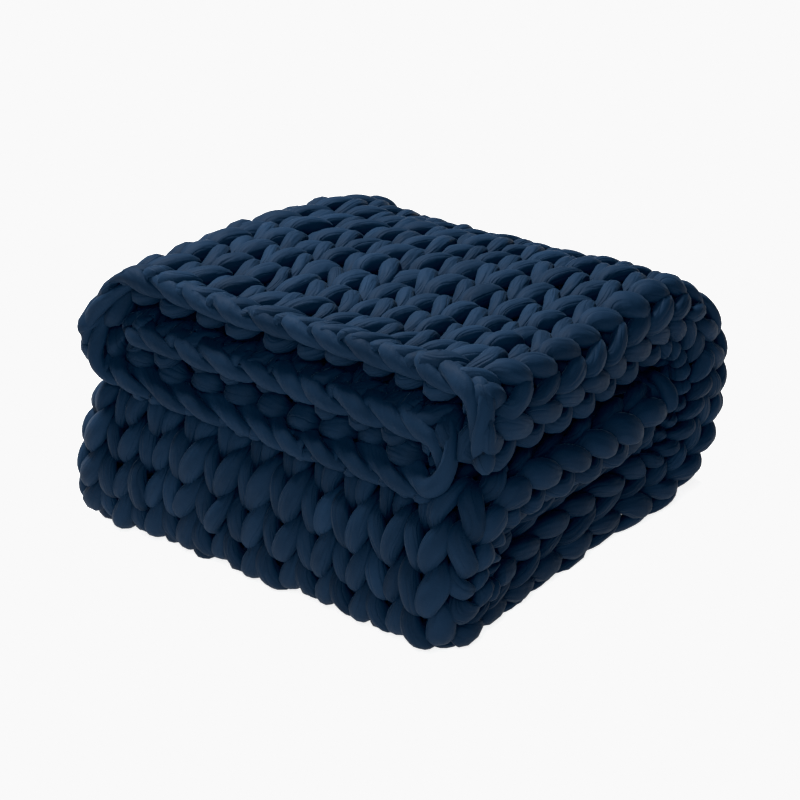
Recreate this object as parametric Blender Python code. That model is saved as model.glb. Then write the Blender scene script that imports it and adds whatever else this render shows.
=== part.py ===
# Chunky knitted weighted blanket, folded in thirds across and then in thirds along.
#
# The cloth is one closed solid. Its section, three layers joined by two side folds, is carried
# along a strip that runs over the top, down the right end, along the floor, up the left front
# and back inside. The V columns of the knit stand up as ribs on the outer side of the cloth.

from math import cos, exp, floor, pi, sin

import bmesh
import bpy

# Driving dimensions, metres
bundleLength = 0.350        # folded size along the strip, X
bundleDepth = 0.351         # folded size across the strip, Y
layerPitch = 0.024          # from the middle of one layer to the middle of the next
layersInStrip = 3
clothThickness = 0.020
columnCount = 33            # V columns across the whole cloth
ribDepth = 0.003            # crest of a V column above the valley beside it
innerEdgeSetback = 0.020    # the hidden free edge stops this far short of the far side fold
looseLift = 0.015           # the open end of the top strip's upper layer stands up by this much
innerLift = 0.009           # and its middle layer by this much
looseReach = 0.40           # and both settle over this share of the top run
endSag = 0.020              # its lowest layer sinks over the rounded fold below
endSagReach = 0.20          # share of the top run that sinks
innerTail = 0.012           # the hidden end runs this far past the middle of the right turn
rightSquareness = 2.0       # 2 is a round turn, and more is a squarer one
frontSquareness = 2.9
floorPress = 0.004          # the soft underside is pressed flat by this much

stripThickness = layersInStrip * layerPitch
floorHeight = stripThickness / 2                # middle of the strip on the floor
middleHeight = floorHeight + stripThickness
topHeight = middleHeight + stripThickness
heapHeight = topHeight + stripThickness / 2
rightRadius = (topHeight - floorHeight) / 2
frontRadius = (middleHeight - floorHeight) / 2
rightCentre = bundleLength - rightRadius - stripThickness / 2
frontCentre = frontRadius + stripThickness / 2
farTurnStart = bundleDepth - layerPitch

# Where rings lie on each run of the strip, as shares of that run
runRings = [
    dict(run="top", shares=[0.0, 0.04, 0.09, 0.16, 0.3, 0.5, 0.75]),
    dict(run="right turn", shares=[step / 9 for step in range(9)]),
    dict(run="floor", shares=[step / 4 for step in range(4)]),
    dict(run="front turn", shares=[step / 8 for step in range(8)]),
    dict(run="middle", shares=[0.0, 0.5, 0.94, 1.0]),
]

# How the near side lies along the strip. "at" counts runs from the open end of the top strip.
# edge is where the free edge rolls over, bend its middle radius there, drop how far it hangs,
# and fold is where the side fold lies.
sideRows = [
    dict(at=0.0, edge=0.015, bend=0.0160, drop=0.004, fold=0.040),
    dict(at=0.08, edge=0.014, bend=0.0160, drop=0.014, fold=0.039),
    dict(at=0.15, edge=0.013, bend=0.0160, drop=0.021, fold=0.038),
    dict(at=0.3, edge=0.013, bend=0.0160, drop=0.023, fold=0.038),
    dict(at=0.5, edge=0.013, bend=0.0160, drop=0.019, fold=0.038),
    dict(at=1.0, edge=0.016, bend=0.0160, drop=0.019, fold=0.038),
    dict(at=1.5, edge=0.027, bend=0.0160, drop=0.026, fold=0.042),
    dict(at=2.0, edge=0.041, bend=0.0160, drop=0.040, fold=0.048),
    dict(at=2.6, edge=0.040, bend=0.0160, drop=0.038, fold=0.046),
    dict(at=3.0, edge=0.036, bend=0.0160, drop=0.030, fold=0.042),
    dict(at=3.5, edge=0.022, bend=0.0140, drop=0.016, fold=0.036),
    dict(at=4.0, edge=0.008, bend=0.0120, drop=0.002, fold=0.032),
    dict(at=5.0, edge=0.006, bend=0.0120, drop=0.002, fold=0.030),
]

# The chains along the two cut-across edges: how much each side stands out, by place on its run
chainRows = [
    dict(at=0.00, extra=-0.0030),
    dict(at=0.04, extra=0.0012),
    dict(at=0.09, extra=0.0012),
    dict(at=0.16, extra=0.0),
    dict(at=4.50, extra=0.0),
    dict(at=4.94, extra=0.0012),
    dict(at=5.00, extra=-0.0030),
]

# How far each corner of the heap has slumped from a plain box
cornerSlump = [
    dict(name="near bottom", end=(0, 0, 0), shift=(-0.016, 0.006, 0.000)),
    dict(name="near top", end=(0, 0, 1), shift=(0.016, -0.008, 0.012)),
    dict(name="left bottom", end=(0, 1, 0), shift=(-0.010, 0.028, 0.000)),
    dict(name="left top", end=(0, 1, 1), shift=(0.012, -0.014, -0.002)),
    dict(name="right bottom", end=(1, 0, 0), shift=(0.016, -0.003, 0.000)),
    dict(name="right top", end=(1, 0, 1), shift=(-0.011, 0.010, -0.004)),
    dict(name="back top", end=(1, 1, 1), shift=(-0.010, -0.012, -0.022)),
]

# Soft waves through the whole heap: the axis they move, their height, and how many of them
# there are along X, Y and Z. Waves along Z shift the layers past each other.
softWaves = [
    dict(axis=2, height=0.0030, counts=(1.3, 0.7, 0.0), phase=0.9),
    dict(axis=1, height=0.0030, counts=(1.6, 0.0, 1.1), phase=2.4),
    dict(axis=0, height=0.0025, counts=(0.0, 1.4, 0.8), phase=0.3),
]

navy = (0.0130, 0.0319, 0.0723, 1.0)


def valueAt(rows, at, column):
    """Reads a table's column at a place between its rows, along straight lines."""
    for before, after in zip(rows, rows[1:]):
        if at <= after["at"]:
            share = (at - before["at"]) / (after["at"] - before["at"])
            return before[column] + share * (after[column] - before[column])
    return rows[-1][column]


def sectionPieces(at):
    """The cloth's middle line across the strip, as (length, turn) from its free edge."""
    edge = valueAt(sideRows, at, "edge")
    bend = valueAt(sideRows, at, "bend")
    drop = valueAt(sideRows, at, "drop")
    foldStart = valueAt(sideRows, at, "fold") + layerPitch / 2
    start = (edge, layerPitch - bend - drop)
    pieces = [
        (drop, 0.0),
        (bend * pi / 2, -pi / 2),
        (farTurnStart - edge - bend, 0.0),
        (layerPitch * pi, -pi),
        (farTurnStart - foldStart, 0.0),
        (layerPitch / 2 * pi, -pi),
        (farTurnStart - foldStart - innerEdgeSetback, 0.0),
    ]
    return start, pieces


def walk(start, pieces, distance):
    """Position and heading after a distance along straight pieces and arcs."""
    across, up = start
    heading = pi / 2
    for length, turn in pieces:
        step = min(distance, length)
        if turn:
            radius = length / turn
            nextHeading = heading + turn * step / length
            across += radius * (sin(nextHeading) - sin(heading))
            up -= radius * (cos(nextHeading) - cos(heading))
            heading = nextHeading
        else:
            across += step * cos(heading)
            up += step * sin(heading)
        distance -= step
    return across, up, heading


def columnStops():
    """Column counts where the section has points: two a column, and four where it bends."""
    start, pieces = sectionPieces(0.0)
    total = sum(length for length, turn in pieces)
    bends = []
    passed = 0.0
    for length, turn in pieces:
        if turn:
            bends.append((passed / total * columnCount, (passed + length) / total * columnCount))
        passed += length
    stops = []
    for half in range(2 * columnCount):
        stops.append(half / 2)
        if any(low <= half / 2 + 0.25 <= high for low, high in bends):
            stops.append(half / 2 + 0.25)
    stops.append(float(columnCount))
    if len(stops) % 2 == 0:
        stops.insert(1, 0.25)
    return stops


def offsetPoint(across, up, heading, offset):
    """A point to the left of the middle line, or to its right where offset is below 0."""
    return across - offset * sin(heading), up + offset * cos(heading)


def sectionRing(at, stops):
    """Closed outline of the cloth across the strip: outer side, rolled tip, inner side, tip."""
    start, pieces = sectionPieces(at)
    total = sum(length for length, turn in pieces)
    half = clothThickness / 2 + valueAt(chainRows, at, "extra")
    middle = [walk(start, pieces, stop / columnCount * total) for stop in stops]
    outer = []
    for stop, (across, up, heading) in zip(stops, middle):
        valley = (1 + cos(2 * pi * stop)) / 2
        outer.append(offsetPoint(across, up, heading, half - ribDepth * valley))
    inner = [offsetPoint(*middle[index], -half) for index in range(0, len(stops), 2)]
    lastAcross, lastUp, lastHeading = middle[-1]
    firstAcross, firstUp, firstHeading = middle[0]
    farTip = (lastAcross + half * 0.7 * cos(lastHeading), lastUp + half * 0.7 * sin(lastHeading))
    nearTip = (firstAcross - half * 0.7 * cos(firstHeading), firstUp - half * 0.7 * sin(firstHeading))
    return outer + [farTip] + inner[::-1] + [nearTip]


def turnPoint(centreX, centreZ, radius, angle, squareness):
    """A point on a turn, pushed out towards a square as squareness grows past 2."""
    stretch = (abs(cos(angle)) ** squareness + abs(sin(angle)) ** squareness) ** (-1 / squareness)
    return centreX + radius * stretch * cos(angle), centreZ + radius * stretch * sin(angle)


def stripPoint(at, up):
    """X and Z of a point that stands a height above the strip's middle, at a place along it."""
    run = min(int(floor(at)), len(runRings) - 1)
    share = at - run
    if run == 0:
        return rightCentre * share, topHeight + up
    if run == 1:
        angle = pi / 2 - pi * share
        return turnPoint(rightCentre, (topHeight + floorHeight) / 2, rightRadius + up, angle, rightSquareness)
    if run == 2:
        return rightCentre + (frontCentre - rightCentre) * share, floorHeight - up
    if run == 3:
        angle = -pi / 2 - pi * share
        return turnPoint(frontCentre, (middleHeight + floorHeight) / 2, frontRadius + up, angle, frontSquareness)
    return frontCentre + (rightCentre + innerTail - frontCentre) * share, middleHeight + up


def slump(x, y, z):
    """Moves a point with the heap's corners, each by its share, and with the soft waves."""
    shares = (x / bundleLength, y / bundleDepth, z / heapHeight)
    moved = [x, y, z]
    for row in cornerSlump:
        weight = 1.0
        for share, end in zip(shares, row["end"]):
            weight *= share if end else 1 - share
        for axis in range(3):
            moved[axis] += weight * row["shift"][axis]
    for wave in softWaves:
        angle = wave["phase"] + 2 * pi * sum(count * share for count, share in zip(wave["counts"], shares))
        moved[wave["axis"]] += wave["height"] * sin(angle) * shares[2]
    return moved


def layerLift(at, across, up):
    """How far a layer stands up, or sinks, near the open end of the top strip."""
    layer = min(max(up / layerPitch, -1.0), 1.0)
    lift = innerLift + layer * (looseLift - innerLift) if layer > 0 else innerLift * (1 + layer)
    lift *= exp(-at / looseReach) * max(across / bundleDepth, 0.0) ** 0.5
    return lift - endSag * max(-layer, 0.0) * max(1 - at / endSagReach, 0.0) ** 2


def clothPoint(at, across, up):
    """Takes a point of the section to its place in the folded heap."""
    x, z = stripPoint(at, up + layerLift(at, across, up))
    return slump(x, across, z)


def ringPlaces():
    return [run + share for run, row in enumerate(runRings) for share in row["shares"]]


def clothMesh(name):
    """Carries the section along the strip, and closes both ends with a cap of short faces."""
    stops = columnStops()
    places = ringPlaces()
    rings = [[clothPoint(at, across, up) for across, up in sectionRing(at, stops)] for at in places]
    lowest = min(point[2] for ring in rings for point in ring) + floorPress
    minX = min(point[0] for ring in rings for point in ring)
    maxX = max(point[0] for ring in rings for point in ring)
    minY = min(point[1] for ring in rings for point in ring)
    maxY = max(point[1] for ring in rings for point in ring)
    middleX = (minX + maxX) / 2
    middleY = (minY + maxY) / 2

    mesh = bmesh.new()
    vertRings = []
    for ring in rings:
        vertRings.append([mesh.verts.new((x - middleX, y - middleY, max(z - lowest, 0.0))) for x, y, z in ring])
    for before, after in zip(vertRings, vertRings[1:]):
        for index in range(len(before)):
            following = (index + 1) % len(before)
            mesh.faces.new((before[index], before[following], after[following], after[index]))

    outerCount = len(stops)
    for ring in (vertRings[0], vertRings[-1]):
        inner = ring[outerCount + 1:-1][::-1]
        for step in range(len(inner) - 1):
            outer = ring[2 * step:2 * step + 3]
            mesh.faces.new(outer + [inner[step + 1], inner[step]])
        mesh.faces.new((ring[0], inner[0], ring[-1]))
        mesh.faces.new((ring[outerCount - 1], ring[outerCount], inner[-1]))
    bmesh.ops.recalc_face_normals(mesh, faces=mesh.faces)
    bmesh.ops.triangulate(mesh, faces=mesh.faces)
    data = bpy.data.meshes.new(name)
    mesh.to_mesh(data)
    mesh.free()
    return data


def yarnMaterial():
    material = bpy.data.materials.new("navy_jersey_yarn")
    material.use_nodes = True
    shader = material.node_tree.nodes["Principled BSDF"]
    shader.inputs["Base Color"].default_value = navy
    shader.inputs["Roughness"].default_value = 0.85
    shader.inputs["Metallic"].default_value = 0.0
    return material


def buildBlanket():
    collection = bpy.data.collections.new("folded_knit_blanket")
    bpy.context.scene.collection.children.link(collection)
    blanket = bpy.data.objects.new("knit_blanket", clothMesh("knit_blanket"))
    blanket.data.materials.append(yarnMaterial())
    collection.objects.link(blanket)


for leftover in list(bpy.data.objects):
    bpy.data.objects.remove(leftover, do_unlink=True)
buildBlanket()
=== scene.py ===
# Looks for the folded chunky knit blanket. One long jersey yarn is computed stitch by stitch on
# the flat cloth, then carried through the two sets of folds that the CAD solid has.
import bpy
import numpy as np
from math import cos, pi, radians, sin
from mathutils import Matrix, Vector


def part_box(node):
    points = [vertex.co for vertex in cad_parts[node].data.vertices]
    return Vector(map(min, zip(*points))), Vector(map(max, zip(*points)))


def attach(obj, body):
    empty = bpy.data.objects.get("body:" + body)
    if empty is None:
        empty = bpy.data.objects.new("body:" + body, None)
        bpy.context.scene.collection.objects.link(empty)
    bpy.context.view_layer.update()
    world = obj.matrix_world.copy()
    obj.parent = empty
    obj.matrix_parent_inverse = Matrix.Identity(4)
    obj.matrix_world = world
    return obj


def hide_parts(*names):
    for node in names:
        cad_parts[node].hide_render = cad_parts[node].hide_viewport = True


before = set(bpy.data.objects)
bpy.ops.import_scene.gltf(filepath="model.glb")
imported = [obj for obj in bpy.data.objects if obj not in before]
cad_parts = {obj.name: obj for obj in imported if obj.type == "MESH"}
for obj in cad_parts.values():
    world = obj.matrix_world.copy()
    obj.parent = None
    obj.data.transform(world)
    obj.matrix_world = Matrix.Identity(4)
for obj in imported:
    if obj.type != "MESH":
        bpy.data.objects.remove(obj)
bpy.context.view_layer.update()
low, high = (np.array(corner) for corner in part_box("knit_blanket"))
rng = np.random.default_rng(41)

# Camera, seen from the near corner between the open end and the open side
view = dict(
    azimuth=51.9,                   # degrees from the +Y direction towards +X
    elevation=27.1,                 # degrees above the floor
    distance=2.5,
    pixelsPerMetre=1373.0,          # at the middle of the bundle
    imageSide=800,
    targetPixel=(427.2, 398.8),     # where the middle of the bundle falls in the image
    target=(0.0023, -0.0121, 0.0945),
    sensorWidth=36.0,
    farClip=30.0,
)


def placeCamera():
    data = bpy.data.cameras.new("camera")
    camera = bpy.data.objects.new("camera", data)
    bpy.context.scene.collection.objects.link(camera)
    azimuth, elevation = radians(view["azimuth"]), radians(view["elevation"])
    forward = Vector((sin(azimuth) * cos(elevation), cos(azimuth) * cos(elevation), -sin(elevation)))
    camera.location = Vector(view["target"]) - forward * view["distance"]
    camera.rotation_euler = forward.to_track_quat("-Z", "Y").to_euler()
    imageSide = view["imageSide"]
    data.sensor_width = view["sensorWidth"]
    data.lens = view["pixelsPerMetre"] * view["distance"] * data.sensor_width / imageSide
    data.shift_x = -(view["targetPixel"][0] - imageSide / 2) / imageSide
    data.shift_y = (view["targetPixel"][1] - imageSide / 2) / imageSide
    data.clip_end = view["farClip"]
    bpy.context.scene.camera = camera


placeCamera()
print("camera placed")

# The folded cloth in metres: the solid's sizes, and how the open end lifts, sags and flares
heap = dict(
    length=0.350, depth=0.351, layerPitch=0.024,
    setback=0.005, tail=0.012,                           # how far the two hidden ends stop short and run on
    rightSquareness=2.0, frontSquareness=2.9,            # power of each turn's outline, 2 is a circle
    looseLift=0.015, innerLift=0.009, looseReach=0.40,   # how the open end's upper layers stand up
    sag=0.031, innerSag=0.018, nearSag=0.006,            # how its lowest layer, middle one and near edge hang
    sagStart=0.05, sagReach=0.26,                        # the places where the sag starts to fade and ends
    farLiftLoss=0.2, farSagLoss=0.3,                     # what is lost of both at the far fold
    flare=0.011, flareReach=0.12,                        # how far the far fold spreads at the open end
    flareMiddle=0.6, flareByLayer=0.3,                   # the middle layer's share, and how others differ
    farLimit=1.05,                                       # how far past the depth these still grow
    topLoss=0.0036,                                      # how much lower the top hangs than the solid's
)
stripThickness = 3 * heap["layerPitch"]
floorHeight = stripThickness / 2
middleHeight = floorHeight + stripThickness
topHeight = middleHeight + stripThickness
heapHeight = topHeight + stripThickness / 2
rightRadius = (topHeight - floorHeight) / 2
frontRadius = (middleHeight - floorHeight) / 2
rightCentre = heap["length"] - rightRadius - stripThickness / 2
frontCentre = frontRadius + stripThickness / 2
farTurnStart = heap["depth"] - heap["layerPitch"]

# The section's sizes at places on the strip: where the near edge bends down and how far it drops,
# and where the near fold turns back
sideRows = [
    dict(at=0.0, edge=0.015, bend=0.0160, drop=0.004, fold=0.040),
    dict(at=0.08, edge=0.014, bend=0.0160, drop=0.014, fold=0.039),
    dict(at=0.15, edge=0.013, bend=0.0160, drop=0.021, fold=0.038),
    dict(at=0.3, edge=0.013, bend=0.0160, drop=0.023, fold=0.038),
    dict(at=0.5, edge=0.013, bend=0.0160, drop=0.019, fold=0.038),
    dict(at=1.0, edge=0.016, bend=0.0160, drop=0.019, fold=0.038),
    dict(at=1.5, edge=0.027, bend=0.0160, drop=0.026, fold=0.042),
    dict(at=2.0, edge=0.041, bend=0.0160, drop=0.040, fold=0.048),
    dict(at=2.6, edge=0.040, bend=0.0160, drop=0.038, fold=0.046),
    dict(at=3.0, edge=0.036, bend=0.0160, drop=0.030, fold=0.042),
    dict(at=3.5, edge=0.022, bend=0.0140, drop=0.016, fold=0.036),
    dict(at=4.0, edge=0.008, bend=0.0120, drop=0.002, fold=0.032),
    dict(at=5.0, edge=0.006, bend=0.0120, drop=0.002, fold=0.030),
]
cornerSlump = [
    dict(end=(0, 0, 0), shift=(-0.016, 0.006, 0.000)),
    dict(end=(0, 0, 1), shift=(0.016, -0.008, 0.012)),
    dict(end=(0, 1, 0), shift=(-0.010, 0.028, 0.000)),
    dict(end=(0, 1, 1), shift=(0.012, -0.014, -0.002)),
    dict(end=(1, 0, 0), shift=(0.016, -0.003, 0.000)),
    dict(end=(1, 0, 1), shift=(-0.011, 0.010, -0.004)),
    dict(end=(1, 1, 1), shift=(-0.010, -0.012, -0.022)),
]
softWaves = [
    dict(axis=2, height=0.0030, counts=(1.3, 0.7, 0.0), phase=0.9),
    dict(axis=1, height=0.0030, counts=(1.6, 0.0, 1.1), phase=2.4),
    dict(axis=0, height=0.0025, counts=(0.0, 1.4, 0.8), phase=0.3),
]
edgeDips = [
    dict(axis=0, depth=0.009, power=1.0, ends=(0, 0)),     # the floor edge of the left face
    dict(axis=2, depth=-0.010, power=0.7, ends=(1, 1)),    # the top edge at the back
]
floorSway = dict(height=0.005, length=0.78)                # the floor edge of the right face, in and out


# A side row's value between its rows, along straight lines
def sideValue(at, column):
    return np.interp(at, [row["at"] for row in sideRows], [row[column] for row in sideRows])


# Across the strip: the section's straight and bent pieces walked to a share of their length,
# then a step to the left by the height above the cloth; the third value is the cloth's own height
def acrossStrip(at, share, rise):
    edge, bend, drop = (sideValue(at, column) for column in ("edge", "bend", "drop"))
    foldStart = sideValue(at, "fold") + heap["layerPitch"] / 2
    nothing = np.zeros_like(at)
    pieces = [
        (drop, 0.0),
        (bend * pi / 2, -pi / 2),
        (farTurnStart - edge - bend, 0.0),
        (nothing + heap["layerPitch"] * pi, -pi),
        (farTurnStart - foldStart, 0.0),
        (nothing + heap["layerPitch"] / 2 * pi, -pi),
        (farTurnStart - foldStart - heap["setback"], 0.0),
    ]
    left = share * sum(length for length, turn in pieces)
    across, up = edge, heap["layerPitch"] - bend - drop
    heading = nothing + pi / 2
    for index, (length, turn) in enumerate(pieces):
        step = np.minimum(left, length)
        if index == 0:
            step = np.where(left < length, left, length)    # before the free edge it runs on straight
        if index == len(pieces) - 1:
            step = left
        if turn:
            after = heading + turn * step / length
            across = across + length / turn * (np.sin(after) - np.sin(heading))
            up = up - length / turn * (np.cos(after) - np.cos(heading))
            heading = after
        else:
            across = across + step * np.cos(heading)
            up = up + step * np.sin(heading)
        left = left - step
    return across - rise * np.sin(heading), up + rise * np.cos(heading), up


# A turn of the strip: a circle whose radius grows by (|cos|^n + |sin|^n)^(-1/n) towards a square
def turnPoint(centreX, centreZ, radius, angle, squareness):
    grow = (np.abs(np.cos(angle)) ** squareness + np.abs(np.sin(angle)) ** squareness) ** (-1 / squareness)
    return centreX + radius * grow * np.cos(angle), centreZ + radius * grow * np.sin(angle)


# Along the strip: two turns and three runs, each picked where its share of the place lies
def alongStrip(at, up):
    run = np.clip(np.floor(at), 0, 4)
    share = at - run
    rightX, rightZ = turnPoint(rightCentre, (topHeight + floorHeight) / 2, rightRadius + up,
                               pi / 2 - pi * share, heap["rightSquareness"])
    frontX, frontZ = turnPoint(frontCentre, (middleHeight + floorHeight) / 2, frontRadius + up,
                               -pi / 2 - pi * share, heap["frontSquareness"])
    x = np.choose(run.astype(int), [
        rightCentre * share,
        rightX,
        rightCentre + (frontCentre - rightCentre) * share,
        frontX,
        frontCentre + (rightCentre + heap["tail"] - frontCentre) * share,
    ])
    z = np.choose(run.astype(int), [topHeight + up, rightZ, floorHeight - up, frontZ, middleHeight + up])
    return x, z


# Corner shifts shared out by how near each corner is, sine waves that grow with height, a dip halfway
# along each of two edges: depth * sin(pi * (y share)^power) * (nearness in x * nearness in z)^3,
# and a sway of the near floor edge: height * sin(2 pi * x share / length) * (1 - y share)^3 * (1 - z share)^2
def slump(x, y, z):
    shares = (x / heap["length"], y / heap["depth"], z / heapHeight)
    moved = [x, y, z]
    for row in cornerSlump:
        weight = 1.0
        for share, end in zip(shares, row["end"]):
            weight = weight * (share if end else 1 - share)
        moved = [value + weight * shift for value, shift in zip(moved, row["shift"])]
    for wave in softWaves:
        angle = wave["phase"] + 2 * pi * sum(count * share for count, share in zip(wave["counts"], shares))
        moved[wave["axis"]] = moved[wave["axis"]] + wave["height"] * np.sin(angle) * shares[2]
    for dip in edgeDips:
        nearX, nearZ = (share if end else 1 - share for share, end in zip(shares[::2], dip["ends"]))
        weight = np.sin(pi * np.clip(shares[1], 0, 1) ** dip["power"]) * np.clip(nearX * nearZ, 0, 1.2) ** 3
        moved[dip["axis"]] = moved[dip["axis"]] + dip["depth"] * weight
    sway = np.sin(2 * pi * shares[0] / floorSway["length"]) * np.clip(1 - shares[1], 0, 1.1) ** 3
    moved[1] = moved[1] - floorSway["height"] * sway * np.clip(1 - shares[2], 0, 1) ** 2
    return np.stack(moved, axis=-1)


# The whole fold: place along the strip, share across the cloth and rise above it, to X, Y, Z.
# At the open end, with far the share of the way to the far fold, the section spreads by
# flare * far^8 * exp(-place / reach), its upper layers stand up by
# lift * sqrt(far) * (1 - loss * far^4) * exp(-place / reach), and its layers hang by
# (sag * (1 - loss * far^4) + nearSag * (1 - far^1.5)) * (1 - place / reach)^2
def foldPoint(at, share, rise):
    across, up, cloth = acrossStrip(at, share, rise)
    place = np.maximum(at, 0)
    layer = np.clip(cloth / heap["layerPitch"], -1, 1)
    far = np.clip(across / heap["depth"], 0, heap["farLimit"])
    flare = heap["flare"] * far ** 8 * np.exp(-place / heap["flareReach"])
    across = across + flare * (heap["flareMiddle"] - heap["flareByLayer"] * layer)
    lift = np.interp(layer, [-1, 0, 1], [0, heap["innerLift"], heap["looseLift"]])
    lift = lift * np.exp(-place / heap["looseReach"]) * np.sqrt(np.clip(across / heap["depth"], 0, None))
    lift = lift * (1 - heap["farLiftLoss"] * far ** 4)
    sag = heap["sag"] * np.clip(-layer, 0, 1) * (1 - heap["farSagLoss"] * far ** 4)
    sag = sag + heap["innerSag"] * (1 - np.abs(layer))
    sag = sag + heap["nearSag"] * (1 - far ** 1.5)
    sag = sag * np.clip(1 - np.maximum(at, heap["sagStart"]) / heap["sagReach"], 0, 1) ** 2
    x, z = alongStrip(at, up + lift - sag)
    return slump(x, across, z)


# The solid's own middle, found from its skin, so that the yarn sits in the solid's box
def heapOrigin():
    skinRise = 0.010
    at, share = np.meshgrid(np.linspace(0, 5, 260), np.linspace(0, 1, 300), indexing="ij")
    skin = np.concatenate([foldPoint(at, share, rise).reshape(-1, 3) for rise in (-skinRise, skinRise)])
    lowest, highest = skin.min(axis=0), skin.max(axis=0)
    middle = (lowest + highest) / 2
    top = highest[2] + heap["topLoss"]
    return np.array([middle[0], middle[1], top - high[2]]) - np.array([*((low + high) / 2)[:2], 0.0])


origin = heapOrigin()
print("heap origin", origin.round(4))

# The knit, in metres, and in columns where a value runs across the cloth. The rows on top are the easy
# ones: their stitches lie a little longer, wider and rounder than those of the rows pressed below.
# Powers shape the waves of rowPath
knit = dict(
    columns=33, columnPitch=0.0310, rowPitch=0.0332,
    easyPlaces=(1.0, 2.5),                           # the strip's places from one kind to the other
    firstRow=0.0135, lastRow=0.020,                  # how far the first and last rows keep from the cut ends
    rowReference=0.034,                              # the height over the strip's middle where rows are even
    loopHeight=0.0252, easyHeight=0.0018,            # half a loop's height
    lean=0.222, easyLean=0.022,                      # columns that the legs lean to each side
    depth=0.0064, tilt=0.0010,                       # half the cloth's depth, and each loop's slope in it
    inset=0.0015,                                    # how far the whole knit lies in from the fold's surface
    legWidth=0.0080, legThickness=0.0068,            # half sizes of the yarn in the legs,
    neckWidth=0.0043, neckThickness=0.0042,          # in the necks between leg and bend,
    bendWidth=0.0070, bendThickness=0.0060,          # and in the bends at the back
    legPower=3.6, easyLegPower=0.8,                  # how short a leg's full part is, how much less on top
    legTaper=0.06,                                   # how much fuller a leg is at its foot
    legUneven=0.22, easyLegUneven=0.10,              # how much fuller a V's one leg is, how much less on top
    bendPower=7, hangPower=0.7, bendShade=0.75,      # how short a bend's full part is, its growth, and how much less painted shade and crease the bumps get
    headPower=2.6, footPower=3.0,                    # how suddenly the yarn dives at a loop's head and foot
    firstDive=0.25, hang=0.4,                        # the first row's shallow feet, the second's deep ones
    fullness=0.25, fullColumn=12.15, fullReach=1.6,  # fuller stitches round the far turn,
    fullTo=0.8,                                      # up to this place on the strip
)
# How far the legs differ from each other: shares, but metres for rise and radians for roll
spread = dict(height=0.065, lean=0.11, depth=0.12, rise=0.0012, width=0.10, thickness=0.06, roll=0.22,
              tone=0.34)
yarnSides = 12
rowReference = knit["rowReference"]
runLengths = [rightCentre, pi * (rightRadius + rowReference), rightCentre - frontCentre,
              pi * (frontRadius + rowReference), rightCentre + heap["tail"] - frontCentre]
runEnds = np.concatenate([[0.0], np.cumsum(runLengths)])
rowCount = int((runEnds[-1] - knit["firstRow"] - knit["lastRow"]) / knit["rowPitch"]) + 1

# Slow drift of the stitches: waves across in columns, waves along in metres, each by its lengths in both
driftWaves = [
    dict(axis=0, height=0.08, distance=0.31, columns=13, phase=0.6),
    dict(axis=0, height=0.04, distance=0.17, columns=-8, phase=2.2),
    dict(axis=1, height=0.0016, distance=0.42, columns=7.5, phase=1.1),
    dict(axis=1, height=0.0012, distance=-0.23, columns=3.7, phase=4.0),
]


# Distance along the cloth to a place on the strip, carried on straight before its start
def placeAt(distance):
    return np.where(distance < 0, distance / runLengths[0], np.interp(distance, runEnds, np.arange(6.0)))


# Metres across, along and above the flat cloth to the bundle
def foldMetres(metres):
    share = metres[..., 0] / knit["columnPitch"] / knit["columns"]
    return foldPoint(placeAt(metres[..., 1]), share, metres[..., 2])


# Values at evenly spread stops, joined by a smooth step between each two
def smoothNoise(positions, spacing, deviation, count):
    values = rng.normal(0.0, deviation, count)
    place = np.clip(positions / spacing, 0, count - 1.001)
    before = place.astype(int)
    share = place - before
    share = share * share * (3 - 2 * share)
    return values[before] * (1 - share) + values[before + 1] * share


# Drift in the cloth's own plane: each wave is height * sin(2 pi * (distance / length + column / columns)
# + phase), and the across waves fade out within a column of either side
def drift(column, distance):
    moves = [0.0, 0.0]
    for wave in driftWaves:
        angle = 2 * pi * (distance / wave["distance"] + column / wave["columns"]) + wave["phase"]
        moves[wave["axis"]] = moves[wave["axis"]] + wave["height"] * np.sin(angle)
    inward = np.clip(np.minimum(column, knit["columns"] - column), 0, 1)
    return column + moves[0] * inward, distance + moves[1]


# How finely a row is drawn: stops for each column, by how much of the row shows there
detail = dict(
    shown=44, fair=40, turn=32, hidden=16,
    startRows=0.075, endRows=0.09,                   # metres from each cut end where all layers show
    outside=((-1.0, 2.15), (2.85, 4.15)),            # places on the strip where its outer layer shows
)


# Stops along one row, close together where the row shows and wider apart inside the bundle
def rowStops(distance):
    at = float(placeAt(distance))
    outside = any(start < at < stop for start, stop in detail["outside"])
    endRow = distance < detail["startRows"] or distance > runEnds[-1] - detail["endRows"]
    zones = [
        dict(to=1.75, stops=detail["shown"]),                                          # free edge
        dict(to=10.2, stops=detail["shown" if outside or endRow else "hidden"]),       # outer layer
        dict(to=12.8, stops=detail["shown"]),                                          # far fold
        dict(to=21.4, stops=detail["shown" if endRow else "hidden"]),                  # lowest layer
        dict(to=24.0, stops=detail["turn"]),                                           # near fold
        dict(to=33.0, stops=detail["fair" if endRow else "hidden"]),                   # middle layer
    ]
    columns, start = [], 0.0
    for zone in zones:
        count = int(round((zone["to"] - start) * zone["stops"]))
        columns.append(np.linspace(start, zone["to"], count, endpoint=False))
        start = zone["to"]
    return np.concatenate(columns + [[float(knit["columns"])]])


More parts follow.
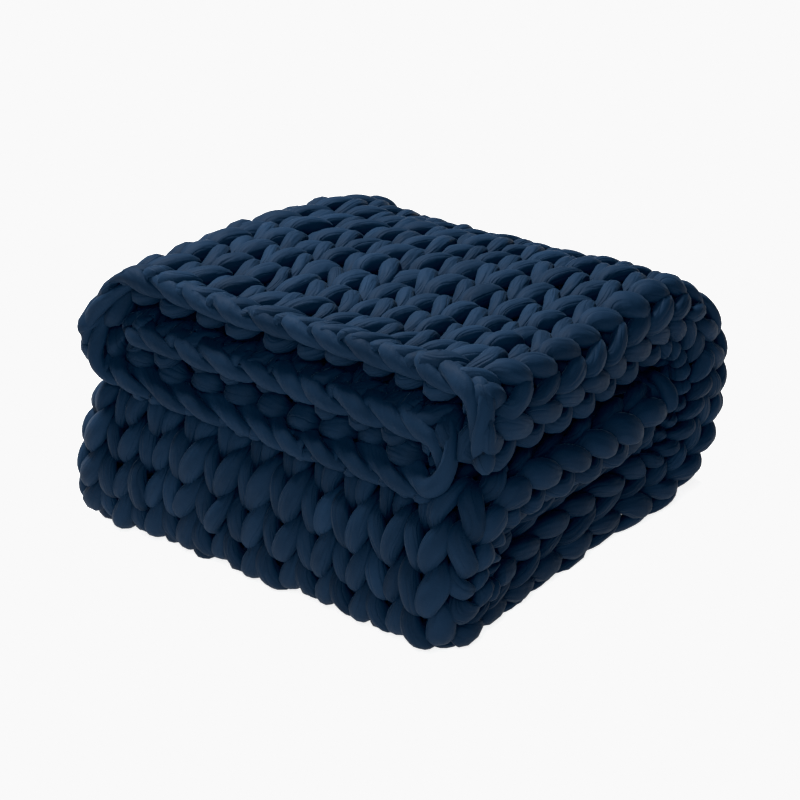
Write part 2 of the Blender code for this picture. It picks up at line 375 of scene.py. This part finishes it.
# One row of stockinette: with t a turn of 2 pi per column, x = column + lean * sin 2t,
# y = row - height * cos t, z = depth * (1 - 2 * |cos t|^n) + tilt * cos t, where n is lower at the heads,
# so the legs of the V lie in front and sink slowly to a point under the stitch above. The first row's
# lower half is drawn in under the chain, and the second row's hangs well below the cloth
def rowPath(distance, index):
    column = rowStops(distance)
    turn = 2 * pi * column
    cosine, sine = np.cos(turn), np.sin(turn)
    at = float(placeAt(distance))
    easy = np.interp(at, knit["easyPlaces"], [1.0, 0.0])
    leg = np.abs(sine) ** (knit["legPower"] - knit["easyLegPower"] * easy) * (1 + knit["legTaper"] * cosine)
    leg = leg * (1 + (knit["legUneven"] - knit["easyLegUneven"] * easy) * sine)
    drawnIn = (cosine > 0) & (index == 0)
    loops = np.where(drawnIn, 0.0, 1.0)
    hanging = 1 + knit["hang"] * np.clip(cosine, 0, 1) ** 4 * (index == 1)
    bump = np.abs(cosine) ** knit["bendPower"] * loops

    # one random value for each leg, two legs to a column
    def uneven(deviation):
        return smoothNoise(column + 0.25, 0.5, deviation, 2 * knit["columns"] + 2)

    height = (knit["loopHeight"] + knit["easyHeight"] * easy) * (1 + uneven(spread["height"]))
    lean = (knit["lean"] + knit["easyLean"] * easy) * (1 + uneven(spread["lean"]))
    depth = knit["depth"] * (1 + uneven(spread["depth"]))
    x, y = drift(column + lean * np.sin(2 * turn), distance - height * cosine * loops)
    dive = np.abs(cosine) ** np.where(cosine > 0, knit["footPower"], knit["headPower"])
    dive = dive * np.where(drawnIn, knit["firstDive"], hanging)
    farTurn = np.exp(-((column - knit["fullColumn"]) / knit["fullReach"]) ** 2)
    full = 1 + knit["fullness"] * farTurn * (at < knit["fullTo"])

    def size(way):
        neck, middle, back = (knit[part + way] for part in ("neck", "leg", "bend"))
        return full * (neck + (middle - neck) * leg + (back * hanging ** knit["hangPower"] - neck) * bump)

    return dict(
        x=x,
        y=y,
        z=depth * (1 - 2 * dive) + knit["tilt"] * cosine + uneven(spread["rise"]),
        wide=size("Width") * (1 + uneven(spread["width"])),
        thick=size("Thickness") * (1 + uneven(spread["thickness"])),
        roll=uneven(spread["roll"]),
        # bend sets the crease depth and the painted shade that darkens the colour where the yarn turns into
        # the cloth
        bend=(1 - np.minimum(leg, 1)) * (1 - knit["bendShade"] * bump),
        tone=0.5 + uneven(spread["tone"]),
    )


# How far along the cloth the feet of a row lie
def footDistance(index):
    return rowDistances[index] - (knit["loopHeight"] if index else 0.0)


# The turn from one row's feet up to the next's at a side of the cloth: a half sine bulge beyond that
# side, and the first turn stands nearer and higher to clear the chain
edge = dict(
    stops=22,
    bulge=0.30, firstBulge=0.12, bulgePower=0.8,     # columns beyond the side, and how square the bulge is
    rise=1.25, firstRise=1.5,                        # shares of the cloth's depth
    legShare=0.98, widthPower=0.7,                   # its width as a share of a leg's, how soon it is full
    sizeSpread=0.05, placeSpread=0.02, rollSpread=0.15, toneSpread=0.2,
)


def edgeTurn(lower, upper, side, ends=False, first=False):
    share = np.linspace(0, 1, edge["stops"] + 2)[0 if ends else 1:None if ends else -1]
    swell = np.sin(pi * share)
    lift = edge["rise"] * swell + (edge["firstRise"] * (1 - share) if first else 0)
    backWidth, backThickness = knit["bendWidth"], knit["bendThickness"]
    wide = backWidth + (knit["legWidth"] * edge["legShare"] - backWidth) * swell ** edge["widthPower"]
    thick = backThickness + (knit["legThickness"] - backThickness) * swell
    size = 1 + rng.normal(0, edge["sizeSpread"])
    bulge = edge["firstBulge" if first else "bulge"] * swell ** edge["bulgePower"]
    outward = bulge + rng.normal(0, edge["placeSpread"])
    x, y = drift(knit["columns"] + outward if side else -outward, lower + (upper - lower) * share)
    return dict(
        x=x,
        y=y,
        z=-knit["depth"] * (1 - lift),
        wide=wide * size,
        thick=thick * size,
        roll=rng.normal(0, edge["rollSpread"]) + 0 * share,
        # bend: painted shade and deeper creases where the turn dives back into the cloth
        bend=1 - swell,
        tone=0.5 + rng.normal(0, edge["toneSpread"]) + 0 * share,
    )


# The chain at a cut-across end, fuller near its far turn
chain = dict(
    radius=0.0046, width=0.0049, thickness=0.0060, rise=0.003, overrun=0.05, stops=18,
    fuller=0.16, fullShare=0.84, fullReach=1 / 6,    # shares of the columns
    endSize=0.12, endLength=0.35, endPower=0.5,      # how its ends grow to full size, over this many columns
    wobble=0.30, sizeSpread=0.05, toneSpread=0.34, bend=-0.4,
    start=0.0125, gap=0.002,                         # where the first chain lies, and the last past its row
)


# Each half of a chain: a flattened strand that circles the chain's middle half a turn per column,
# so that x = column, y = middle + radius * cos t, z = rise - radius * sin t, rolled by -t
def chainStrand(distance, half):
    columns = knit["columns"]
    column = np.linspace(-chain["overrun"], columns + chain["overrun"], columns * chain["stops"])

    # one random value for each column
    def uneven(deviation):
        return smoothNoise(column + 1, 1.0, deviation, columns + 4)

    turn = pi * (column + half) + chain["wobble"] * uneven(1.0)
    ends = np.minimum(column + chain["overrun"], columns + chain["overrun"] - column)
    taper = np.clip(chain["endSize"] + ends / chain["endLength"], 0, 1) ** chain["endPower"]
    fromFullest = (column - chain["fullShare"] * columns) / (columns * chain["fullReach"])
    middle = 1 + chain["fuller"] * np.exp(-fromFullest ** 2)
    size = taper * middle * (1 + uneven(chain["sizeSpread"]))
    radius = chain["radius"] * middle * taper
    x, y = drift(column, distance + radius * np.cos(turn))
    return dict(
        x=x,
        y=y,
        z=chain["rise"] - radius * np.sin(turn),
        wide=chain["width"] * size,
        thick=chain["thickness"] * size,
        roll=-turn,
        bend=0 * column + chain["bend"],
        tone=0.5 + uneven(chain["toneSpread"]),
    )


def joinPaths(paths):
    return {key: np.concatenate([path[key] for path in paths]) for key in paths[0]}


def slicePath(path, start, stop):
    return {key: values[start:stop] for key, values in path.items()}


# How much the folds draw the cloth out across, as a length in the bundle over its length in the cloth
def acrossStretch(metres):
    step = np.array([0.0005, 0.0, 0.0])
    before, after = foldMetres(metres - step), foldMetres(metres + step)
    return np.linalg.norm(after - before, axis=1) / (2 * step[0])


# A tube along a path in the cloth: a flattened ellipse |x|^n + |y|^n = 1 stood on each stop, its wide
# way in the cloth's plane, narrowed where a fold would draw it out, each ring point then carried through
# the fold and kept above the floor
tube = dict(power=2.3, freeStretch=1.3, mostStretch=2.0, narrowing=0.9)


def yarnTube(path):
    metres = np.stack([path["x"] * knit["columnPitch"], path["y"], path["z"] - knit["inset"]], axis=-1)
    tangent = np.gradient(metres, axis=0)
    tangent /= np.linalg.norm(tangent, axis=1, keepdims=True)
    side = np.stack([-tangent[:, 1], tangent[:, 0], np.zeros(len(tangent))], axis=-1)
    side /= np.linalg.norm(side, axis=1, keepdims=True)
    up = np.cross(tangent, side)
    angle = 2 * pi * np.arange(yarnSides) / yarnSides
    flatness = 2 / tube["power"]
    ringSide = np.sign(np.cos(angle)) * np.abs(np.cos(angle)) ** flatness
    ringUp = np.sign(np.sin(angle)) * np.abs(np.sin(angle)) ** flatness
    drawn = np.clip(acrossStretch(metres) / tube["freeStretch"], 1.0, tube["mostStretch"])
    acrossRing = (path["wide"] / drawn ** tube["narrowing"])[:, None] * ringSide
    upRing = path["thick"][:, None] * ringUp
    rollCos, rollSin = np.cos(path["roll"])[:, None], np.sin(path["roll"])[:, None]
    sideAmount = acrossRing * rollCos - upRing * rollSin
    upAmount = acrossRing * rollSin + upRing * rollCos
    rings = metres[:, None, :] + side[:, None, :] * sideAmount[..., None]
    rings = rings + up[:, None, :] * upAmount[..., None]
    points = foldMetres(rings) - origin
    points[..., 2] = np.maximum(points[..., 2], 0.0)
    length = np.concatenate([[0.0], np.cumsum(np.linalg.norm(np.diff(metres, axis=0), axis=1))])
    return points, length


# One mesh from several tubes: quads round each tube and one flat face over each end
def meshPiece(name, paths):
    vertices, faces, tubes, along, around, tones, bends = [], [], [], [], [], [], []
    first = 0
    for path in paths:
        points, length = yarnTube(path)
        rings = len(points)
        ring = np.arange(rings - 1)[:, None] * yarnSides
        here = np.arange(yarnSides)[None, :]
        after = (here + 1) % yarnSides
        nextRing = ring + yarnSides
        quads = np.stack([ring + here, nextRing + here, nextRing + after, ring + after], axis=-1)
        faces.append((quads.reshape(-1, 4) + first).astype(np.int32))
        alongQuad = np.stack([length[:-1], length[1:], length[1:], length[:-1]], axis=-1)[:, None, :]
        along.append(np.broadcast_to(alongQuad, quads.shape).reshape(-1))
        aroundQuad = np.stack([here, here, here + 1, here + 1], axis=-1) / yarnSides
        around.append(np.broadcast_to(aroundQuad, quads.shape).reshape(-1))
        vertices.append(points.reshape(-1, 3))
        tones.append(np.repeat(path["tone"], yarnSides))
        bends.append(np.repeat(path["bend"], yarnSides))
        tubes.append((first, rings))
        first += rings * yarnSides
    quads = np.concatenate(faces)
    caps = []
    for start, rings in tubes:
        begin = start + np.arange(yarnSides)
        end = begin + (rings - 1) * yarnSides
        caps += [begin, end[::-1]]
    loops = np.concatenate([quads.reshape(-1), np.concatenate(caps)]).astype(np.int32)
    sizes = np.concatenate([np.full(len(quads), 4), np.full(len(caps), yarnSides)])
    starts = np.concatenate([[0], np.cumsum(sizes)[:-1]]).astype(np.int32)
    mesh = bpy.data.meshes.new(name)
    vertices = np.concatenate(vertices)
    mesh.vertices.add(len(vertices))
    mesh.vertices.foreach_set("co", vertices.reshape(-1).astype(np.float32))
    mesh.loops.add(len(loops))
    mesh.loops.foreach_set("vertex_index", loops)
    mesh.polygons.add(len(sizes))
    mesh.polygons.foreach_set("loop_start", starts)
    mesh.polygons.foreach_set("use_smooth", np.ones(len(sizes), dtype=bool))
    mesh.update(calc_edges=True)
    capLoops = np.zeros(len(caps) * yarnSides)
    uv = np.stack([np.concatenate(along + [capLoops]), np.concatenate(around + [capLoops])], axis=-1)
    layer = mesh.uv_layers.new(name="yarn")
    layer.data.foreach_set("uv", uv.reshape(-1).astype(np.float32))
    for key, values in (("tone", tones), ("bend", bends)):
        attribute = mesh.attributes.new(name=key, type="FLOAT", domain="POINT")
        attribute.data.foreach_set("value", np.concatenate(values).astype(np.float32))
    piece = bpy.data.objects.new(name, mesh)
    bpy.context.scene.collection.objects.link(piece)
    return piece


# The yarn's skin. Noises count cells per metre along the yarn and per radius round it; heights are shares
# of the bump's metres, and tones are shares of the yarn's colour
skin = dict(
    crease=dict(along=28.0, around=1.5, detail=1.0, roughness=0.45),
    dents=dict(along=75.0, around=0.9, detail=2.0, roughness=0.5),
    fuzz=dict(along=1400.0, around=22.0, detail=2.0, roughness=0.6),
    cloud=dict(along=26.0, around=0.8, detail=2.0, roughness=0.5),
    ridgeSlope=9.0, ridgeLevel=0.8,                                # how sharp a crease is, and its mean level
    creaseHeight=0.16, bendCreaseHeight=0.28, dentHeight=0.8,
    creaseMetres=0.0020, creaseBump=0.85,
    wales=26.0, courseMetres=0.0015, courseSlant=1.2,              # the jersey's columns and rows
    courseHeight=0.5, waleHeight=0.9, fuzzHeight=1.6,
    grainMetres=0.00012, grainBump=0.35,
    # painted shade: the crease and bend values on the next line darken the colour in the creases and at the
    # bends; cloud and fuzz are random tone
    cloudTone=0.35, creasePaintedShade=0.4, fuzzTone=0.30, bendShade=0.65, darkest=0.15,
)


# A group that puts out the yarn's Color and Normal: jersey grain, creases along the yarn, and tones with
# painted shade in the creases and at the bends
def jerseyYarnGroup():
    group = bpy.data.node_groups.new("jersey yarn", "ShaderNodeTree")
    for name, kind, default in (("Base Color", "NodeSocketColor", (0.5, 0.5, 0.5, 1)),
                                ("Crease Depth", "NodeSocketFloat", 1.0),
                                ("Grain Depth", "NodeSocketFloat", 1.0),
                                ("Tone Spread", "NodeSocketFloat", 0.3)):
        socket = group.interface.new_socket(name=name, in_out="INPUT", socket_type=kind)
        socket.default_value = default
    group.interface.new_socket(name="Color", in_out="OUTPUT", socket_type="NodeSocketColor")
    group.interface.new_socket(name="Normal", in_out="OUTPUT", socket_type="NodeSocketVector")
    nodes, links = group.nodes, group.links
    given = nodes.new("NodeGroupInput")
    result = nodes.new("NodeGroupOutput")

    def maths(operation, first, second=None, third=None):
        node = nodes.new("ShaderNodeMath")
        node.operation = operation
        for socket, value in zip(node.inputs, (first, second, third)):
            if value is None:
                continue
            if isinstance(value, (int, float)):
                socket.default_value = value
            else:
                links.new(value, socket)
        return node.outputs[0]

    def attribute(name):
        node = nodes.new("ShaderNodeAttribute")
        node.attribute_name = name
        return node.outputs["Fac"]

    uv = nodes.new("ShaderNodeUVMap")
    uv.uv_map = "yarn"
    split = nodes.new("ShaderNodeSeparateXYZ")
    links.new(uv.outputs["UV"], split.inputs[0])
    along = split.outputs["X"]
    angle = maths("MULTIPLY", split.outputs["Y"], 2 * pi)
    roundX, roundY = maths("COSINE", angle), maths("SINE", angle)
    bend, tone = attribute("bend"), attribute("tone")

    # noise on the yarn's own skin: x along it, y and z round it
    def skinNoise(row):
        place = nodes.new("ShaderNodeCombineXYZ")
        links.new(maths("MULTIPLY", along, row["along"]), place.inputs[0])
        links.new(maths("MULTIPLY", roundX, row["around"]), place.inputs[1])
        links.new(maths("MULTIPLY", roundY, row["around"]), place.inputs[2])
        noise = nodes.new("ShaderNodeTexNoise")
        noise.inputs["Scale"].default_value = 1.0
        noise.inputs["Detail"].default_value = row["detail"]
        noise.inputs["Roughness"].default_value = row["roughness"]
        links.new(place.outputs[0], noise.inputs["Vector"])
        return noise.outputs["Fac"]

    def bumpNode(height, metres, strength):
        node = nodes.new("ShaderNodeBump")
        node.inputs["Distance"].default_value = metres
        node.inputs["Strength"].default_value = strength
        links.new(height, node.inputs["Height"])
        return node

    # creases: grooves where a noise drawn out along the yarn crosses its middle value, deeper at the bends,
    # over broad dents
    ridge = maths("ABSOLUTE", maths("SUBTRACT", skinNoise(skin["crease"]), 0.5))
    ridge = maths("MINIMUM", maths("MULTIPLY", ridge, skin["ridgeSlope"]), 1.0)
    strength = maths("MULTIPLY_ADD", bend, skin["bendCreaseHeight"], skin["creaseHeight"])
    creaseDepth = given.outputs["Crease Depth"]
    creaseHeight = maths("MULTIPLY", maths("MULTIPLY", ridge, strength), creaseDepth)
    dentDepth = maths("MULTIPLY", creaseDepth, skin["dentHeight"])
    creaseHeight = maths("MULTIPLY_ADD", skinNoise(skin["dents"]), dentDepth, creaseHeight)

    # grain: small interlocked V columns of the jersey tube, many to the way round
    wale = maths("ABSOLUTE", maths("SINE", maths("MULTIPLY", angle, skin["wales"])))
    course = maths("MULTIPLY", along, 2 * pi / skin["courseMetres"])
    course = maths("SINE", maths("MULTIPLY_ADD", wale, skin["courseSlant"], course))
    grain = maths("MULTIPLY", course, skin["courseHeight"])
    grain = maths("MULTIPLY_ADD", wale, skin["waleHeight"], grain)
    fuzz = skinNoise(skin["fuzz"])
    grain = maths("MULTIPLY_ADD", fuzz, skin["fuzzHeight"], grain)

    broad = bumpNode(creaseHeight, skin["creaseMetres"], skin["creaseBump"])
    grain = maths("MULTIPLY", grain, given.outputs["Grain Depth"])
    fine = bumpNode(grain, skin["grainMetres"], skin["grainBump"])
    links.new(broad.outputs["Normal"], fine.inputs["Normal"])
    links.new(fine.outputs["Normal"], result.inputs["Normal"])

    # colour: each leg's own tone and paler fuzz, with painted shade on the crease relief (darker in the
    # creases, paler on the ridges between them) and painted shade darkening the yarn where it dives into the
    # cloth
    cloud = skinNoise(skin["cloud"])
    level = maths("MULTIPLY_ADD", maths("SUBTRACT", tone, 0.5), given.outputs["Tone Spread"], 1.0)
    level = maths("MULTIPLY_ADD", maths("SUBTRACT", cloud, 0.5), skin["cloudTone"], level)
    # painted shade and light: the colour darkens in the crease grooves and lightens on the ridges between
    # them, by the crease mask
    creasePaintedShade = maths("MULTIPLY", strength, skin["creasePaintedShade"])
    level = maths("MULTIPLY_ADD", maths("SUBTRACT", ridge, skin["ridgeLevel"]), creasePaintedShade, level)
    level = maths("MULTIPLY_ADD", maths("SUBTRACT", fuzz, 0.5), skin["fuzzTone"], level)
    # painted shade: the colour is darkened by the square of the bend, standing in for the deep shade where
    # the yarn dives into the cloth
    deep = maths("MAXIMUM", bend, 0.0)
    shade = maths("MULTIPLY_ADD", maths("MULTIPLY", deep, deep), -skin["bendShade"], 1.0)
    level = maths("MULTIPLY", level, shade)
    scale = nodes.new("ShaderNodeVectorMath")
    scale.operation = "SCALE"
    links.new(given.outputs["Base Color"], scale.inputs[0])
    links.new(maths("MAXIMUM", level, skin["darkest"]), scale.inputs["Scale"])
    links.new(scale.outputs[0], result.inputs["Color"])
    return group


def yarnMaterial():
    look = dict(baseColor=(0.0056, 0.0160, 0.0346, 1.0), roughness=0.68, specular=0.04,
                sheenWeight=0.03, sheenRoughness=0.30, sheenTint=(0.40, 0.62, 0.90, 1.0))
    material = bpy.data.materials.new("navy_jersey_yarn_look")
    material.use_nodes = True
    nodes, links = material.node_tree.nodes, material.node_tree.links
    nodes.clear()
    output = nodes.new("ShaderNodeOutputMaterial")
    shader = nodes.new("ShaderNodeBsdfPrincipled")
    jersey = nodes.new("ShaderNodeGroup")
    jersey.node_tree = jerseyYarnGroup()
    jersey.inputs["Base Color"].default_value = look["baseColor"]
    shader.inputs["Roughness"].default_value = look["roughness"]
    shader.inputs["Sheen Weight"].default_value = look["sheenWeight"]
    shader.inputs["Sheen Roughness"].default_value = look["sheenRoughness"]
    shader.inputs["Sheen Tint"].default_value = look["sheenTint"]
    shader.inputs["Specular IOR Level"].default_value = look["specular"]
    links.new(jersey.outputs["Color"], shader.inputs["Base Color"])
    links.new(jersey.outputs["Normal"], shader.inputs["Normal"])
    links.new(shader.outputs["BSDF"], output.inputs["Surface"])
    return material


# One yarn runs back and forth through all rows. It is cut into pieces deep inside the bundle, at the
# bend nearest to a column, and each row's other side gets a loose turn so that both sides look alike
rowDistances = knit["firstRow"] + knit["rowPitch"] * np.arange(rowCount)
rowsPerPiece = 6
cutColumn = 17.0
bendPull = 0.2
segments, loose, path = [], [], []
for index, distance in enumerate(rowDistances):
    row = rowPath(distance, index)
    if index % 2:
        row = {key: values[::-1] for key, values in row.items()}
    if index and index % rowsPerPiece == 0:
        cut = int(np.argmin(np.abs(row["x"] - cutColumn) + bendPull * np.abs(row["bend"] - 1)))
        path.append(slicePath(row, 0, cut + 1))
        segments.append(joinPaths(path))
        path = [slicePath(row, cut, None)]
    else:
        path.append(row)
    if index + 1 < rowCount:
        feet = footDistance(index), footDistance(index + 1)
        path.append(edgeTurn(*feet, side=(index + 1) % 2, first=index == 0))
        loose.append(edgeTurn(*feet, side=index % 2, ends=True, first=index == 0))
segments.append(joinPaths(path))
print("rows", rowCount, "groups", len(segments))

yarn = yarnMaterial()
pieces = []
for index, segment in enumerate(segments):
    stop = (index + 1) * rowsPerPiece if index + 1 < len(segments) else None
    pieces.append(meshPiece(f"knit_rows_{index + 1}", [segment] + loose[index * rowsPerPiece:stop]))
lastChain = rowDistances[-1] + knit["loopHeight"] + chain["gap"]
for name, distance in (("chain_start", chain["start"]), ("chain_end", lastChain)):
    pieces.append(meshPiece(name, [chainStrand(distance, half) for half in (0, 1)]))
for piece in pieces:
    piece.data.materials.append(yarn)
    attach(piece, "root")
    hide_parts("knit_blanket")
    print(piece.name, sum(len(polygon.vertices) - 2 for polygon in piece.data.polygons), "triangles")

# A pale floor that glows like a lit table, one large soft light high towards the back, and a weak one
# low at the near left
studio = dict(side=6.0, below=0.0004, color=(0.50, 0.50, 0.50, 1.0), roughness=0.9, specular=0.1,
              glow=0.90, surround=0.08, white=(1.0, 1.0, 1.0, 1.0), lightTarget=(0, 0, 0.1))
lights = [
    dict(name="overhead", place=(0.10, 0.90, 1.80), size=0.45, power=106.0),
    dict(name="near", place=(-1.10, -0.70, 1.00), size=0.6, power=13.0),
]


def floorAndLight():
    half, z = studio["side"] / 2, -studio["below"]
    mesh = bpy.data.meshes.new("floor")
    corners = [(-half, -half, z), (half, -half, z), (half, half, z), (-half, half, z)]
    mesh.from_pydata(corners, [], [(0, 1, 2, 3)])
    floor = bpy.data.objects.new("floor", mesh)
    bpy.context.scene.collection.objects.link(floor)
    material = bpy.data.materials.new("floor_white")
    material.use_nodes = True
    shader = material.node_tree.nodes["Principled BSDF"]
    shader.inputs["Base Color"].default_value = studio["color"]
    shader.inputs["Roughness"].default_value = studio["roughness"]
    shader.inputs["Specular IOR Level"].default_value = studio["specular"]
    shader.inputs["Emission Color"].default_value = studio["white"]
    shader.inputs["Emission Strength"].default_value = studio["glow"]
    floor.data.materials.append(material)
    world = bpy.data.worlds.new("studio")
    world.use_nodes = True
    background = world.node_tree.nodes["Background"]
    background.inputs["Color"].default_value = studio["white"]
    background.inputs["Strength"].default_value = studio["surround"]
    bpy.context.scene.world = world
    for row in lights:
        data = bpy.data.lights.new(row["name"], "AREA")
        data.shape = "SQUARE"
        data.size = row["size"]
        data.energy = row["power"]
        light = bpy.data.objects.new(row["name"], data)
        light.location = row["place"]
        towards = Vector(studio["lightTarget"]) - light.location
        light.rotation_euler = towards.to_track_quat("-Z", "Y").to_euler()
        bpy.context.scene.collection.objects.link(light)


# The display's curves: white paper shows just under full white, and deep shade keeps to blue
def displayCurves():
    tones = dict(white=0.947, redStart=0.0030, greenStart=0.0022)
    display = bpy.context.scene.view_settings
    display.view_transform = "Standard"
    display.use_curve_mapping = True
    mapping = display.curve_mapping
    red, green, blue, combined = mapping.curves
    combined.points[-1].location = (1.0, tones["white"])
    red.points[0].location = (tones["redStart"], 0.0)
    green.points[0].location = (tones["greenStart"], 0.0)
    mapping.extend = "HORIZONTAL"
    mapping.update()


floorAndLight()
displayCurves()
print("light placed")
